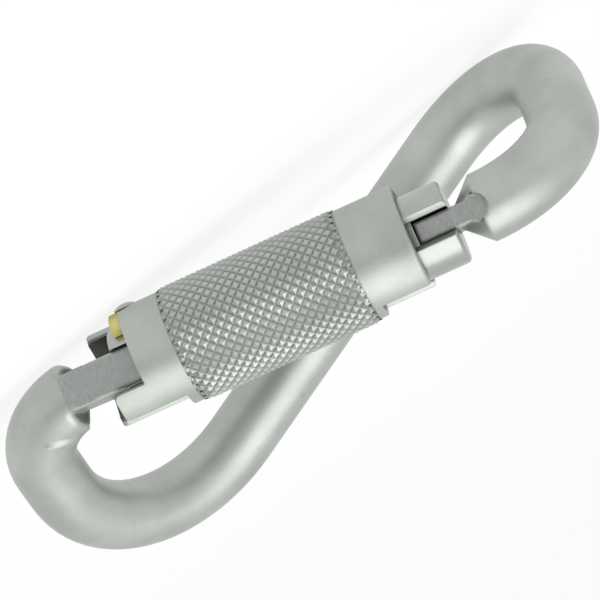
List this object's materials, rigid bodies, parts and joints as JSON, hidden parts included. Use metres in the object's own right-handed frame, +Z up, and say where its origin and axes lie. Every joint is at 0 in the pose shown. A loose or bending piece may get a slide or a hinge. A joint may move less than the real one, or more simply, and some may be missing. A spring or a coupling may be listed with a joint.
{
  "type": "oval carabiner",
  "caption": "Steel oval carabiner of twisted round bar, with a spring gate and a knurled twist-lock sleeve.",
  "frame": {"origin": "below the middle of the carabiner as it lies at rest, on the surface that it lies on", "axes": "+X along the carabiner's length, from the nose end to the hinge end; +Z upwards; the gate is on the -Y side, with its outer side facing -Y"},
  "size_m": [0.119, 0.0592, 0.0332],
  "materials": {
    "bar_steel": "satin",
    "gate_steel": "satin",
    "sleeve_steel": "satin",
    "spring_steel": "satin",
    "insert_plastic": "matte"
  },
  "bodies": {
    "frame": {"body": "bar_steel"},
    "gate": {"gate_body": "gate_steel", "hinge_rivet": "gate_steel", "retaining_ring": "spring_steel", "gate_spring": "spring_steel", "sleeve_spring": "spring_steel"},
    "sleeve": {"locking_sleeve": "sleeve_steel", "lock_insert": "insert_plastic", "dome_pin": "gate_steel"},
    "plunger": {"gate_plunger": "spring_steel"}
  },
  "joints": [
    {"name": "gate_swing", "type": "hinge", "parent": "frame", "child": "gate", "pos_m": [0.02637, -0.01957, 0.01015], "axis": [-0.2429, 0.0197, -0.9699], "range_deg": [0, 26], "stiffness_Nm_per_rad": 0.5, "springref_deg": -22.92},
    {"name": "sleeve_turn", "type": "hinge", "parent": "gate", "child": "sleeve", "pos_m": [0.00037, -0.01957, 0.01666], "axis": [0.97, 0, -0.2429], "range_deg": [0, 96.5], "stiffness_Nm_per_rad": 0.02, "springref_deg": -85.94, "deforming": ["sleeve_spring"]},
    {"name": "plunger_slide", "type": "slide", "parent": "gate", "child": "plunger", "axis": [-0.97, 0, 0.2429], "range_m": [0, 0.00115], "deforming": ["gate_spring"]}
  ],
  "couplings": [
    {"joint": "sleeve_turn", "follows": "gate_swing", "ratio": 3.6923},
    {"joint": "plunger_slide", "follows": "gate_swing", "m_per_rad": 0.0024241}
  ]
}
